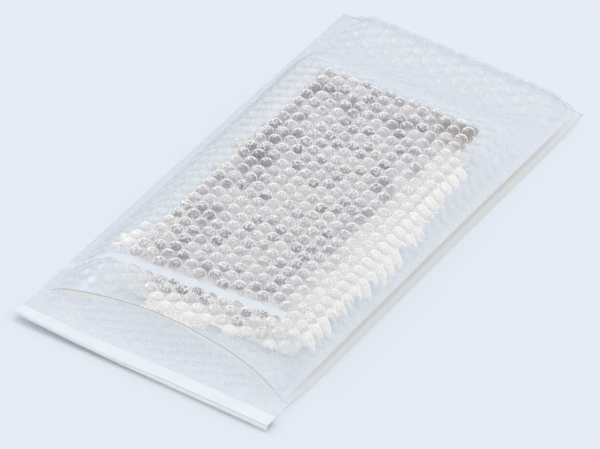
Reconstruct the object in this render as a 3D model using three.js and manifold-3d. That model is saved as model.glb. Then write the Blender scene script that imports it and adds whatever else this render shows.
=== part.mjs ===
// Bubble pouch: one web of bubble film, folded at the closed end and welded along both sides, lying open
// with a flat carton inside it. The lower sheet runs on past the mouth as a flap with an adhesive strip.
// Millimetres, +Z up. X runs across the pouch and +Y towards the fold. The origin is on the floor, under
// the middle of the pouch.
import * as THREE from "three";
import { mergeVertices } from "three/addons/utils/BufferGeometryUtils.js";
import Module from "manifold-3d";

// Pouch
const pouchWidth = 200; // over both side seams
const pouchLength = 420; // from the fold to the lip of the upper sheet
const flapLength = 30; // the lower sheet past the lip
const seamWidth = 6; // weld along each side
const seamThickness = 1.2;
const seamTaper = 9; // the lower sheet thins to the weld over this width
const flapCurl = 6; // lift of the flap's loose corner

// Bubble film
const filmThickness = 0.8;
const bubblePitch = 11;
const bubbleHeight = 4;
const bubbleTopRadius = 3.6; // of its three-cornered crown
const foldScallop = 2; // how far the bubbles stand out of the fold
const lowerValleyDepth = 2.2; // between the columns of bubbles on the underside

// Packed carton
const cartonThickness = 20;
const cartonTurn = THREE.MathUtils.degToRad(3); // it lies a little askew
const cartonCorner = 3; // round of its upright edges
const cartonBevel = 1; // round of its top and bottom edges
const slackLeft = 21; // from the left seam to the carton's nearest corner
const slackRight = 17;
const slackFar = 91; // from the fold
const slackMouth = 37; // from the lip
const farSlope = 60; // the upper sheet comes down to the lower one over this length
const sideStandOff = 4; // the film stays level this far past the carton's sides
const sideShoulder = 0.18; // share of the side slope that rounds its shoulder
const filmClearance = 0.8; // air between the carton and the film over it
const filmGap = 0.6; // air between the two sheets where they lie together
const restGap = 0.3; // between pieces that rest on each other

// Sealing strip on the flap
const adhesiveWidth = 8;
const adhesiveThickness = 0.3;
const linerWidth = 12;
const linerThickness = 0.3;
const linerInset = 2; // from the flap's edges

// Mesh steps
const slopeStep = 7; // across the side slopes
const archStep = 24; // across the middle
const lengthStep = 12; // along the pouch
const flapStep = 8;
const rollSides = 12;
const mergeTolerance = 1e-4;
const joinOverlap = 0.5; // solids that are joined reach this far into each other

const sheetThickness = filmThickness + bubbleHeight;
const cutReach = sheetThickness + cartonThickness; // cutting solids run this far past what they cut
const weldFloor = sheetThickness - seamThickness / 2;
const halfWidth = pouchWidth / 2;
const seamInner = halfWidth - seamWidth;
const foldY = (pouchLength + flapLength) / 2;
const lipY = foldY - pouchLength;
const flapY = lipY - flapLength;
const columnSpacing = (bubblePitch * Math.sqrt(3)) / 2;
const cellRadius = bubblePitch / Math.sqrt(3);
const bubbleColumns = Math.floor((seamInner - bubblePitch / 2) / columnSpacing); // each side of the middle

// The fold is a roll about as high as the two sheets lie apart, with bubbles standing out of it.
const foldHeight = sheetThickness + filmGap + filmThickness;
const foldRadius = (foldHeight - joinOverlap) / 2;
const foldAxisY = foldY - foldScallop - foldRadius;
const sheetEndY = foldAxisY + joinOverlap;

// The turned carton's outer box fills what the slacks leave, which gives its width and length.
const cartonSpanX = 2 * seamInner - slackLeft - slackRight;
const cartonSpanY = pouchLength - slackFar - slackMouth;
const cartonX = (slackLeft - slackRight) / 2;
const cartonY = lipY + slackMouth + cartonSpanY / 2;
const turnCos = Math.cos(cartonTurn);
const turnSin = Math.sin(cartonTurn);
const turnSpread = turnCos ** 2 - turnSin ** 2;
const cartonWidth = (cartonSpanX * turnCos - cartonSpanY * Math.abs(turnSin)) / turnSpread;
const cartonLength = (cartonSpanY * turnCos - cartonSpanX * Math.abs(turnSin)) / turnSpread;
const cartonFloor = sheetThickness + restGap;

const { clamp, lerp, smoothstep } = THREE.MathUtils;

// How far a point lies down the side slope: 0 over the carton, 1 at the seam.
function sidePlace(x, y) {
  const along = clamp(y - cartonY, -cartonSpanY / 2, cartonSpanY / 2);
  const axisX = cartonX - along * (turnSin / turnCos);
  const side = x < axisX ? -1 : 1;
  const edgeX = cartonWidth / 2 / turnCos + side * axisX + sideStandOff;
  return clamp((side * x - edgeX) / (seamInner - edgeX), 0, 1);
}

// Share of the full height that a taut sheet keeps down the side slope, with a rounded shoulder.
function sideShare(place) {
  const rounding = place < 2 * sideShoulder;
  const bend = rounding ? place ** 2 / (4 * sideShoulder) : place - sideShoulder;
  return 1 - bend / (1 - sideShoulder);
}

// Distance of a point past the carton's middle, along the carton.
function alongCarton(x, y) {
  return (y - cartonY) * turnCos - (x - cartonX) * turnSin;
}

// Height between the two sheets: the carton's over the carton, an arch at the lip, none at the fold.
function openHeight(x, y) {
  const full = cartonThickness + restGap + filmClearance - filmGap;
  const along = alongCarton(x, y);
  const towardsLip = smoothstep(-along, cartonLength / 2, cartonLength / 2 + slackMouth);
  const arch = Math.max(0, 1 - (x / seamInner) ** 2);
  const share = lerp(sideShare(sidePlace(x, y)), arch, towardsLip);
  const farShare = 1 - smoothstep(along, cartonLength / 2, cartonLength / 2 + farSlope);
  return filmGap + full * share * farShare;
}

// The flap's left corner curls off the floor.
function flapLift(x, y) {
  const outwards = Math.max(0, -x / halfWidth);
  const pastLip = Math.max(0, (lipY - y) / flapLength);
  return flapCurl * (outwards * pastLip) ** 2;
}

// Inner face of the lower sheet.
function floorHeight(x, y) {
  return sheetThickness + flapLift(x, y);
}

// Underside of the pouch: the plane of the lower bubbles' tops, rising to the welds.
function undersideHeight(x) {
  return weldFloor * clamp((Math.abs(x) - seamInner + seamTaper) / seamTaper, 0, 1);
}

// Inner face of the upper sheet.
function ceilingHeight(x, y) {
  return sheetThickness + openHeight(x, y);
}

// Outer face of the upper sheet, between the bubbles.
function valleyHeight(x, y) {
  return ceilingHeight(x, y) + filmThickness;
}

const wasm = await Module();
wasm.setup();

// Joins and cuts need a closed mesh with its shared corners merged.
function toSolid(geometry) {
  const bare = geometry.clone();
  bare.deleteAttribute("normal");
  bare.deleteAttribute("uv");
  const merged = mergeVertices(bare, mergeTolerance);
  const corners = merged.index.array;
  const triVerts = [];
  for (let i = 0; i < corners.length; i += 3) {
    const [a, b, c] = corners.slice(i, i + 3);
    if (a !== b && b !== c && c !== a) triVerts.push(a, b, c);
  }
  const mesh = new wasm.Mesh({
    numProp: 3,
    vertProperties: new Float32Array(merged.attributes.position.array),
    triVerts: new Uint32Array(triVerts),
  });
  return new wasm.Manifold(mesh);
}

function toGeometry(solid) {
  const mesh = solid.getMesh();
  const geometry = new THREE.BufferGeometry();
  geometry.setAttribute("position", new THREE.BufferAttribute(mesh.vertProperties, mesh.numProp));
  geometry.setIndex(new THREE.BufferAttribute(mesh.triVerts, 1));
  geometry.computeVertexNormals();
  return geometry;
}

function gridLines(from, to, step) {
  const count = Math.max(1, Math.round((to - from) / step));
  return Array.from({ length: count + 1 }, (unused, line) => lerp(from, to, line / count));
}

// A block between two height functions, over a grid of lines across X and Y.
function layer(linesX, linesY, bottom, top) {
  const columns = linesX.length - 1;
  const rows = linesY.length - 1;
  const geometry = new THREE.BoxGeometry(columns, rows, 2, columns, rows, 1);
  const position = geometry.attributes.position;
  for (let i = 0; i < position.count; i += 1) {
    const x = linesX[Math.round(position.getX(i) + columns / 2)];
    const y = linesY[Math.round(position.getY(i) + rows / 2)];
    const height = position.getZ(i) > 0 ? top : bottom;
    position.setXYZ(i, x, y, height(x, y));
  }
  return geometry;
}

// Cells of the bubble lattice over a rectangle. Columns run along Y, and every other column is shifted by
// half a pitch. All corners lie on a grid of half cell radii by half pitches, so that cells share them.
function latticeCells(reachX, y0, y1) {
  const ringX = [2, 1, -1, -2, -1, 1];
  const ringY = [0, 1, 1, 0, -1, -1];
  const place = (gridX, gridY) => [(gridX * cellRadius) / 2, y0 + (gridY * bubblePitch) / 2];
  const columns = Math.ceil(reachX / columnSpacing) + 1;
  const rows = Math.ceil((y1 - y0) / bubblePitch) + 1;
  const cells = [];
  for (let column = -columns; column <= columns; column += 1) {
    for (let row = -1; row <= rows; row += 1) {
      const gridX = 3 * column;
      const gridY = 2 * row + Math.abs(column % 2);
      const corners = ringX.map((ring, corner) => place(gridX + ring, gridY + ringY[corner]));
      cells.push({ centre: place(gridX, gridY), corners });
    }
  }
  return cells;
}

// One bubble: a three-cornered crown that stands over the valley and comes down to the cell's six corners.
function bubbleFaces(centre, rim) {
  const crown = [0, 1, 2].map((corner) => {
    const angle = ((1 + 4 * corner) * Math.PI) / 6;
    const x = centre[0] + bubbleTopRadius * Math.cos(angle);
    const y = centre[1] + bubbleTopRadius * Math.sin(angle);
    return new THREE.Vector3(x, y, valleyHeight(x, y) + bubbleHeight);
  });
  const sides = crown.flatMap((here, corner) => {
    const [a, b, c] = [0, 1, 2].map((step) => rim[(2 * corner + step) % 6]);
    return [[a, b, here], [b, c, here], [here, c, crown[(corner + 1) % 3]]];
  });
  return [...sides, crown];
}

// Everything under the upper sheet's outer face: hexagonal cells that meet in the valleys between the
// bubbles, with a crown in each cell that holds a whole bubble.
function bubbleBlock(base) {
  const reachX = seamInner + joinOverlap;
  const inX = (x) => clamp(x, -reachX, reachX);
  const inY = (y) => clamp(y, lipY, sheetEndY);
  const valley = ([x, y]) => new THREE.Vector3(inX(x), inY(y), valleyHeight(inX(x), inY(y)));
  const faces = [];
  for (const { centre, corners } of latticeCells(reachX, lipY, sheetEndY)) {
    const crossesX = corners.some(([x]) => Math.abs(x) < reachX);
    const crossesY = corners.some(([, y]) => y > lipY) && corners.some(([, y]) => y < sheetEndY);
    if (!crossesX || !crossesY) continue;
    const rim = corners.map(valley);
    const insideX = Math.abs(centre[0]) <= seamInner - bubblePitch / 2;
    const insideY = centre[1] >= lipY + bubblePitch / 2 && centre[1] <= foldAxisY;
    if (insideX && insideY) faces.push(...bubbleFaces(centre, rim));
    else for (let corner = 1; corner < 5; corner += 1) faces.push([rim[0], rim[corner], rim[corner + 1]]);
  }
  return closeDown(faces, base);
}

// Closes an open sheet of triangles to a block that stands on the plane z = base.
function closeDown(faces, base) {
  const key = (p) => `${p.x.toFixed(4)},${p.y.toFixed(4)}`;
  const onBase = (p) => new THREE.Vector3(p.x, p.y, base);
  const whole = faces.filter((face) => new Set(face.map(key)).size === 3);
  const edges = new Map();
  for (const face of whole) {
    face.forEach((from, corner) => {
      const to = face[(corner + 1) % 3];
      edges.set(`${key(from)} ${key(to)}`, [from, to]);
    });
  }
  const closed = [...whole];
  for (const [a, b, c] of whole) closed.push([onBase(c), onBase(b), onBase(a)]);
  for (const [from, to] of edges.values()) {
    if (edges.has(`${key(to)} ${key(from)}`)) continue;
    closed.push([from, onBase(from), onBase(to)]);
    closed.push([from, onBase(to), to]);
  }
  return new THREE.BufferGeometry().setFromPoints(closed.flat());
}

// The fold as a roll that swells at every column of bubbles, pressed as flat as the two sheets.
function foldRoll() {
  const crest = foldRadius + foldScallop;
  const profile = [new THREE.Vector2(0, -seamInner), new THREE.Vector2(foldRadius, -seamInner)];
  for (let column = -bubbleColumns; column <= bubbleColumns; column += 1) {
    profile.push(new THREE.Vector2(foldRadius, (column - 0.5) * columnSpacing));
    profile.push(new THREE.Vector2(crest, column * columnSpacing));
  }
  profile.push(new THREE.Vector2(foldRadius, (bubbleColumns + 0.5) * columnSpacing));
  profile.push(new THREE.Vector2(foldRadius, seamInner), new THREE.Vector2(0, seamInner));
  const roll = new THREE.LatheGeometry(profile, rollSides);
  roll.rotateZ(-Math.PI / 2);
  roll.scale(1, 1, foldRadius / crest);
  roll.translate(0, foldAxisY, foldHeight / 2);
  return toSolid(roll);
}

function seamStrip(side) {
  const width = seamWidth + joinOverlap;
  const strip = new THREE.BoxGeometry(width, sheetEndY - lipY, seamThickness);
  strip.translate(side * (halfWidth - width / 2), (lipY + sheetEndY) / 2, sheetThickness);
  return toSolid(strip);
}

function atCarton(geometry) {
  geometry.rotateZ(cartonTurn);
  geometry.translate(cartonX, cartonY, 0);
  return geometry;
}

// The space inside: between the two sheets, and always clear of the carton.
function pouchCavity() {
  const reachX = seamInner - filmThickness;
  const levelX = cartonWidth / 2 - Math.abs(cartonX) - Math.abs(turnSin) * (cartonLength / 2);
  const slopeLines = gridLines(levelX, reachX, slopeStep);
  const archLines = gridLines(-levelX, levelX, archStep).slice(1, -1);
  const linesX = [...slopeLines.map((x) => -x).reverse(), ...archLines, ...slopeLines];
  const linesY = gridLines(lipY - joinOverlap, foldAxisY, lengthStep);
  const underCeiling = layer(linesX, linesY, () => -cutReach, ceilingHeight);
  const lowerSheet = new THREE.BoxGeometry(2 * pouchWidth, 2 * pouchLength + 2 * flapLength, 2 * cutReach);
  lowerSheet.translate(0, 0, sheetThickness - cutReach);
  const roomHeight = cartonThickness + 2 * restGap;
  const room = new THREE.BoxGeometry(cartonWidth + 2 * restGap, cartonLength + 2 * restGap, roomHeight);
  room.translate(0, 0, sheetThickness + roomHeight / 2);
  return toSolid(underCeiling).add(toSolid(atCarton(room))).subtract(toSolid(lowerSheet));
}

// The valleys between the columns of lower bubbles, from the sealing strip to the fold. Each column of them
// is one rib that rests on the floor.
function lowerValleys() {
  const halfMouth = columnSpacing / 2 - (bubbleTopRadius * Math.sqrt(3)) / 2;
  const reach = 1 + joinOverlap / lowerValleyDepth;
  const section = new THREE.Shape([
    new THREE.Vector2(-halfMouth * reach, -joinOverlap),
    new THREE.Vector2(halfMouth * reach, -joinOverlap),
    new THREE.Vector2(0, lowerValleyDepth),
  ]);
  const startY = flapY + 2 * linerInset + linerWidth;
  const endY = foldAxisY - bubblePitch / 2;
  const valleys = [];
  for (let column = -bubbleColumns; column < bubbleColumns; column += 1) {
    const valley = new THREE.ExtrudeGeometry(section, { depth: endY - startY, bevelEnabled: false });
    valley.rotateX(Math.PI / 2);
    valley.translate((column + 0.5) * columnSpacing, endY, 0);
    valleys.push(toSolid(valley));
  }
  return wasm.Manifold.union(valleys);
}

function pouchGeometry() {
  const flatReach = seamInner - seamTaper;
  const flatLines = gridLines(-flatReach, flatReach, flapStep);
  const linesX = [-halfWidth, -seamInner, ...flatLines, seamInner, halfWidth];
  const overAll = () => sheetThickness + cartonThickness + cutReach;
  const aboveUnderside = layer(linesX, [lipY - cutReach, foldY + cutReach], undersideHeight, overAll);
  const flapUnderside = (x, y) => undersideHeight(x) + flapLift(x, y);
  const flap = layer(linesX, gridLines(flapY, lipY, flapStep), flapUnderside, floorHeight);
  return toGeometry(
    toSolid(bubbleBlock(-cutReach))
      .intersect(toSolid(aboveUnderside))
      .add(seamStrip(-1))
      .add(seamStrip(1))
      .add(foldRoll())
      .subtract(pouchCavity())
      .add(toSolid(flap))
      .subtract(lowerValleys()),
  );
}

// A strip of the sealing tape, lying on the flap along its front edge.
function sealingStrip(width, rise, thickness) {
  const middleY = flapY + linerInset + linerWidth / 2;
  const reachX = halfWidth - linerInset;
  const bottom = (x, y) => floorHeight(x, y) + rise;
  const top = (x, y) => bottom(x, y) + thickness;
  const linesX = gridLines(-reachX, reachX, flapStep);
  return layer(linesX, gridLines(middleY - width / 2, middleY + width / 2, flapStep), bottom, top);
}

function cartonGeometry() {
  const x = cartonWidth / 2 - cartonBevel;
  const y = cartonLength / 2 - cartonBevel;
  const r = cartonCorner;
  const outline = new THREE.Shape();
  outline.absarc(x - r, y - r, r, 0, Math.PI / 2);
  outline.absarc(r - x, y - r, r, Math.PI / 2, Math.PI);
  outline.absarc(r - x, r - y, r, Math.PI, 1.5 * Math.PI);
  outline.absarc(x - r, r - y, r, 1.5 * Math.PI, 2 * Math.PI);
  const geometry = new THREE.ExtrudeGeometry(outline, {
    depth: cartonThickness - 2 * cartonBevel,
    curveSegments: 4,
    bevelEnabled: true,
    bevelSize: cartonBevel,
    bevelThickness: cartonBevel,
    bevelSegments: 2,
  });
  geometry.translate(0, 0, cartonFloor + cartonBevel);
  return atCarton(geometry);
}

function piece(name, geometry, color, roughness) {
  const material = new THREE.MeshStandardMaterial({ color, roughness, metalness: 0 });
  const mesh = new THREE.Mesh(geometry, material);
  mesh.name = name;
  return mesh;
}

const adhesiveRise = restGap;
const linerRise = adhesiveRise + adhesiveThickness + restGap;

const bubblePouch = new THREE.Group();
bubblePouch.add(
  piece("pouch", pouchGeometry(), 0xdfe6ee, 0.2),
  piece("adhesive_strip", sealingStrip(adhesiveWidth, adhesiveRise, adhesiveThickness), 0xe9e6d8, 0.4),
  piece("release_liner", sealingStrip(linerWidth, linerRise, linerThickness), 0xe4eaf0, 0.3),
  piece("packed_carton", cartonGeometry(), 0xb9bac4, 0.6),
);

export default bubblePouch;
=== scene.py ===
import math
from functools import partial
from types import SimpleNamespace

import bmesh
import bpy
import numpy as np
from mathutils import Matrix, Vector, kdtree


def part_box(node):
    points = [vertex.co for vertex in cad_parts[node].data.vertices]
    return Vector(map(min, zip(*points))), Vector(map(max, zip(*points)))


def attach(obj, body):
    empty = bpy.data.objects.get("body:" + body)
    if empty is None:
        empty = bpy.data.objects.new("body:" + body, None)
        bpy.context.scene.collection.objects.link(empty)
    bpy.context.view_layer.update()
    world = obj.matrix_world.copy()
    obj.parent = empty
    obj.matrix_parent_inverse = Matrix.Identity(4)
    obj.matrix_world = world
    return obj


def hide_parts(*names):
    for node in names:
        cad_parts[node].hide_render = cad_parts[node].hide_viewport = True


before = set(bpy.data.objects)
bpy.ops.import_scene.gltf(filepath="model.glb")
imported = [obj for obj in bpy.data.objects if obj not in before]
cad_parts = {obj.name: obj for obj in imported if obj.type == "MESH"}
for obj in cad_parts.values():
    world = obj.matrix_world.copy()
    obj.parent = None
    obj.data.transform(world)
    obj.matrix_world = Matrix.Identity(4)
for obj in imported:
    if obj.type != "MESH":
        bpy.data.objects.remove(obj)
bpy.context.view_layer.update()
scene = bpy.context.scene
scene.view_settings.view_transform = "Standard"
print("frame loaded:", ", ".join(sorted(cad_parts)))


# Camera: a long lens that looks down over the right front corner
cameraView = {
    "target": (0.0009, -0.0123, 0.0),
    "distance": 4.191,
    "azimuth": 26.39,
    "elevation": 36.89,
    "roll": 7.02,
    "lens": 360.0,
}


def makeCamera(view):
    azimuth, elevation = math.radians(view["azimuth"]), math.radians(view["elevation"])
    level = math.cos(elevation)
    back = Vector((math.sin(azimuth) * level, -math.cos(azimuth) * level, math.sin(elevation)))
    turn = (-back).to_track_quat("-Z", "Y").to_matrix().to_4x4()
    roll = Matrix.Rotation(math.radians(view["roll"]), 4, "Z")
    place = Matrix.Translation(Vector(view["target"]) + back * view["distance"])
    data = bpy.data.cameras.new("camera")
    data.lens = view["lens"]
    data.clip_end = 10 * view["distance"]
    camera = bpy.data.objects.new("camera", data)
    scene.collection.objects.link(camera)
    camera.matrix_world = place @ turn @ roll
    scene.camera = camera


makeCamera(cameraView)
print("camera set")


# The film's form: one web, folded at the far end, with its two sides welded
pouchLow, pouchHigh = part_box("pouch")
cartonLow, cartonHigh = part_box("packed_carton")

film = {
    "thickness": 0.0008,
    "pitch": 0.011,
    "bubbleRadius": 0.005,
    "bubbleHeight": 0.004,
    "upperProfile": ((1, 0), (0.95, 0.34), (0.81, 0.66), (0.5, 0.9), (0, 1)),  # shares of radius and height
    "lowerProfile": ((1, 0), (0.92, 0.5), (0.66, 0.87), (0, 1)),
    "cellSides": 12,
    "plump": (0.9, 1.05),  # how full the bubbles are
    "slackPlump": 0.55,  # share of that in the loose film
    "slackSide": (0.004, 0.02),  # which sets in this far past the carton's sides
    "slackEnd": (0.002, 0.014),  # and past its ends
    "foldPlump": 0.8,  # share of it in the fold
    "foldBlend": (0.006, 0.02),
    "slopePlump": 0.5,  # share of it on the slope behind the carton
    "slopeStart": (0.0, 0.01),
    "slopeStop": (0.045, 0.065),
    "bandPlump": 0.05,  # share of it in the smooth band
    "seamWidth": 0.006,
    "weldThickness": 0.0012,
    "weldSlit": 0.0001,
    "weldBlend": 0.002,
    "weldRadius": 0.0003,  # of the fold, where it is welded flat
    "weldReach": 0.0016,  # the welded corners stay this far short of the far end
    "seamRise": (0.003, 0.0012),  # the carton pulls the left and right seams up
    "seamPull": (0.001, 0.0005),  # and in
    "pullFrom": 0.6,
    "marginDrop": (0.0, 0.0045),  # the right welded margin hangs down to the floor
    "marginBend": 0.0014,
    "marginSoft": 0.0004,
    "marginLines": (0.0006, 0.0010, 0.0014, 0.0018, 0.0038),  # the mesh has a row of points on each
    "creaseWidth": 0.0012,
    "wallMiddle": 0.01,  # of the length over which that margin hangs
    "wallLength": 0.205,
    "wallPower": 6,
    "riseMiddle": 0.03,  # of the length over which the seams are pulled
    "riseLength": 0.2,
    "riseWidth": 0.02,
    "flapLength": 0.03,
    "flapCurl": 0.0032,
    "flapRound": 0.0022,  # the flap's front edge turns down
    "flapFall": 0.0003,  # and ends this far below the turn
    "tipSteps": 6,
    "stripRoom": 0.02,  # no bubbles this near to the flap's front edge
    "filmGap": 0.0006,
    "restGap": 0.0003,
    "filmClearance": 0.0008,
    "foldRadius": 0.0045,
    "foldStand": 0.0026,  # room for the bubbles outside the fold
    "foldPinch": 0.024,
    "foldBulge": 0.035,  # the web starts to open into the fold's loop this far from it
    "lipSetBack": 0.006,  # the arched lip draws back in its middle
    "lipPower": 7,
    "lipSkew": 0.008,  # and at its left end
    "skewRun": (0.05, 0.1),
    "hem": (0.0055, 0.0034),  # the cut lip hangs down this far at its left and its right
    "hemLeft": (-0.075, -0.05),
    "hemRight": (0.0, 0.03),
    "hemLeast": 0.12,  # share of that in the middle
    "hemRoom": 0.9,  # and at most this share of the mouth's height
    "hemEdge": 0.0007,  # its dark cut edge
    "hemSkins": (0.7, 0.3),  # its lower edge, as shares of the way out from the base film
    "hemShort": 0.004,  # it ends this far from the seams
    "slack": 0.0005,  # how far the loose film waves up and down
    "slackWaves": ((31, 17, 0.4), (-19, 37, 1.9), (53, 41, 3.1), (13, -67, 5.0)),
    "pucker": 0.0005,  # and puckers along the welds
    "puckerPitch": 0.019,
    "puckerDrift": (2, 0.13),
    "puckerFrom": (0.78, 0.96),
    "sharpAngle": 70.0,
    "seed": 7,
    "chanceWaves": (12989.8, 78233.0, 437.5),
}
carton = {
    "turn": math.radians(3),
    "standOff": 0.004,
    "shoulder": 0.3,
    "farSlope": 0.06,
}

halfWidth = pouchHigh.x
seamInner = halfWidth - film["seamWidth"]
flapY = pouchLow.y
lipY = flapY + film["flapLength"]
sheetZ = cartonLow.z - film["restGap"]
cartonMid = (cartonLow + cartonHigh) / 2
cartonSpan = cartonHigh - cartonLow
turnCos, turnSin = math.cos(carton["turn"]), math.sin(carton["turn"])
turnSpread = turnCos**2 - turnSin**2
cartonEdge = (cartonSpan.x * turnCos - cartonSpan.y * turnSin) / turnSpread / 2  # from its middle
cartonEnd = (cartonSpan.y * turnCos - cartonSpan.x * turnSin) / turnSpread / 2
slackMouth = cartonLow.y - lipY
columnSpacing = film["pitch"] * math.sqrt(3) / 2
cellPhase = -film["pitch"] / 4
quarterTurn = math.pi / 2
tipArc = film["flapRound"] * quarterTurn + film["flapFall"]
mergeGap, sliverArea, onLine = 1e-5, 1e-8, 1e-6
awayFromBubbles = 2.0  # the reach of a spot in no bubble, in bubble radii


def smoothStep(value, start, end):
    share = np.clip((value - start) / (end - start), 0, 1)
    return share * share * (3 - 2 * share)


def ramp(value, most, start, end):
    return most * smoothStep(value, start, end)


def mix(a, b, share):
    return a + (b - a) * share


def bySide(x, pair):
    return np.where(x < 0, pair[0], pair[1])


def sidePlace(x, y):  # 0 over the carton, 1 at the seam
    along = np.clip(y - cartonMid.y, -cartonSpan.y / 2, cartonSpan.y / 2)
    axisX = cartonMid.x - along * (turnSin / turnCos)
    side = np.where(x < axisX, -1, 1)
    edgeX = cartonEdge / turnCos + side * axisX + carton["standOff"]
    return np.clip((side * x - edgeX) / (seamInner - edgeX), 0, 1)


def sideShare(place):
    shoulder = carton["shoulder"]
    bend = np.where(place < 2 * shoulder, place**2 / (4 * shoulder), place - shoulder)
    return 1 - bend / (1 - shoulder)


def cartonPlace(x, y):  # across and along the carton, from its middle
    dx, dy = x - cartonMid.x, y - cartonMid.y
    return dx * turnCos + dy * turnSin, dy * turnCos - dx * turnSin


def openHeight(x, y):  # between the two sheets
    full = cartonSpan.z + film["restGap"] + film["filmClearance"] - film["filmGap"]
    along = cartonPlace(x, y)[1]
    towardsLip = smoothStep(-along, cartonEnd, cartonEnd + slackMouth)
    arch = np.maximum(0, 1 - (x / seamInner) ** 2)
    share = mix(sideShare(sidePlace(x, y)), arch, towardsLip)
    towardsFold = smoothStep(along, cartonEnd, cartonEnd + carton["farSlope"])
    return film["filmGap"] + full * share * (1 - towardsFold)


def tautShare(x, y):  # 1 over the carton, 0 in the loose film round it
    across, along = cartonPlace(x, y)
    beyondSide = smoothStep(np.abs(across) - cartonEdge, *film["slackSide"])
    beyondEnd = smoothStep(np.abs(along) - cartonEnd, *film["slackEnd"])
    return (1 - beyondSide) * (1 - beyondEnd)


def cellCentre(x, t):  # of the bubble cell that a spot of the web lies in
    pitch = film["pitch"]
    best, centre = np.full(np.shape(x), np.inf), np.zeros((2, *np.shape(x)))
    for column in (np.floor(x / columnSpacing), np.floor(x / columnSpacing) + 1):
        start = cellPhase + pitch / 2 * (np.abs(column) % 2)
        row = np.round((t - start) / pitch)
        spot = np.stack([column * columnSpacing, start + pitch * row])
        gap = np.hypot(spot[0] - x, spot[1] - t)
        centre = np.where(gap < best, spot, centre)
        best = np.minimum(gap, best)
    return centre


def chance(x, t):  # an even random number for each bubble, the same on every run
    acrossWave, alongWave, spread = film["chanceWaves"]
    return np.modf(np.abs(np.sin(x * acrossWave + t * alongWave) * spread))[0]


# Where the film looks clear, cream, pale, smooth or dim
# Two numbers are from where to where, or left and right, and three are how much, from where and to where
zones = {
    "clearSide": (-0.001, 0.017),  # the film is clear over the carton, and this far left and right of it
    "clearTaper": (0.085, 0.11),  # which tapers off here, towards the far end
    "clearNarrow": (0.4, 0.04, 0.1),  # and this share less towards the mouth
    "clearPatch": 0.017,  # it reaches this far beside the carton's left front corner
    "patchStart": (0.088, 0.108),
    "patchStop": (0.124, 0.132),
    "clearSlant": (0.3, 0.8),  # in front of the carton it draws in
    "clearNotch": (0.021, 0.134, 0.139),  # its left side steps in at the smooth band
    "clearPinch": (0.008, 0.02, 0.1),  # and again towards the far end
    "clearFar": (-0.003, 0.0),  # it ends at the carton's far edge
    "clearFront": (0.036, 0.02),  # how far in front, at its left and at its right
    "frontTurn": (-0.02, 0.05),
    "clearRag": 0.005,  # its outline goes round single bubbles
    "ragBlend": 0.6,
    "clearFray": 0.0015,
    "frayWaves": (0.0037, 0.0043),
    "clearSoft": 0.001,
    "skirtSide": (-0.001, 0.008),  # the cream film sets in past the carton's sides
    "skirtFront": (0.8, 0.004, 0.022),  # and, a little weaker, in front of it
    "depth": (0.5, 0.95),  # how dark the painted shade on a bubble's shaded side is, by chance
    "paleSide": (-0.036, -0.004),  # from the carton's right edge
    "paleDepth": 0.5,
    "bandPlace": -0.1329,  # along the carton, from its middle
    "bandHalf": 0.005,
    "bandTilt": 0.0625,
    "bandEnd": 0.053,
    "bandSoft": 0.0008,
    "dimFold": (0.8, 0.13, 0.19),  # along the pouch
    "dimLip": (0.9, 0.15, 0.18),
    "dimFlap": (0.45, 0.15, 0.18),
    "dimSeam": (0.072, 0.09),  # across it, to the left
}


def leftPatch(across, along):  # 1 beside the carton's left front corner
    ends = smoothStep(-along, *zones["patchStart"]) * (1 - smoothStep(-along, *zones["patchStop"]))
    return np.where(across < 0, ends, 0)


def clearShare(x, y, luck):  # 1 where the film lies close enough to the carton to be clear
    across, along = cartonPlace(x, y)
    hanging = bySide(across, zones["clearSide"]) * (1 - smoothStep(along, *zones["clearTaper"]))
    hanging = hanging * (1 - ramp(-along, *zones["clearNarrow"]))
    hanging = hanging + zones["clearPatch"] * leftPatch(across, along)
    hanging = hanging - bySide(across, zones["clearSlant"]) * np.maximum(0, -along - cartonEnd)
    stepIn = ramp(-along, *zones["clearNotch"]) + ramp(along, *zones["clearPinch"])
    hanging = hanging - np.where(across < 0, stepIn, 0)
    front = mix(*zones["clearFront"], smoothStep(across, *zones["frontTurn"]))
    beyond = np.maximum(np.abs(across) - cartonEdge - hanging, -along - front - cartonEnd)
    beyond = beyond + zones["clearRag"] * (luck - 0.5)
    waveX, waveY = zones["frayWaves"]
    beyond = beyond + zones["clearFray"] * np.sin(math.tau * x / waveX) * np.sin(math.tau * y / waveY)
    return 1 - smoothStep(beyond, -zones["clearSoft"], zones["clearSoft"])


def clearToFar(x, y):  # 0 past the carton's far edge
    return 1 - smoothStep(cartonPlace(x, y)[1] - cartonEnd, *zones["clearFar"])


def skirtShare(x, y):  # 1 in the cream film that hangs past the carton
    across, along = cartonPlace(x, y)
    beyondSide = smoothStep(np.abs(across) - cartonEdge, *zones["skirtSide"])
    beyondSide = beyondSide * np.where(across < 0, leftPatch(across, along), 1)
    return np.maximum(beyondSide, ramp(-along - cartonEnd, *zones["skirtFront"]))


def paleShare(x, y):  # 1 at the carton's right edge, where the bubbles get less painted shade and look paler
    return smoothStep(cartonPlace(x, y)[0] - cartonEdge, *zones["paleSide"])


def bandShare(x, y):  # 1 in the smooth band across the carton's front end
    across, along = cartonPlace(x, y)
    away = np.abs(along - zones["bandTilt"] * across - zones["bandPlace"]) - zones["bandHalf"]
    away = np.maximum(away, across - zones["bandEnd"])
    return 1 - smoothStep(away, -zones["bandSoft"], zones["bandSoft"])


def dimShare(x, y, upper):  # the loose film looks darker along the left seam, the fold, the lip and the flap
    sheet = np.maximum(ramp(y, *zones["dimFold"]), ramp(-y, *zones["dimLip"]))
    sheet = np.where(upper, sheet, ramp(-y, *zones["dimFlap"]))
    return np.maximum(smoothStep(-x, *zones["dimSeam"]), sheet)


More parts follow.
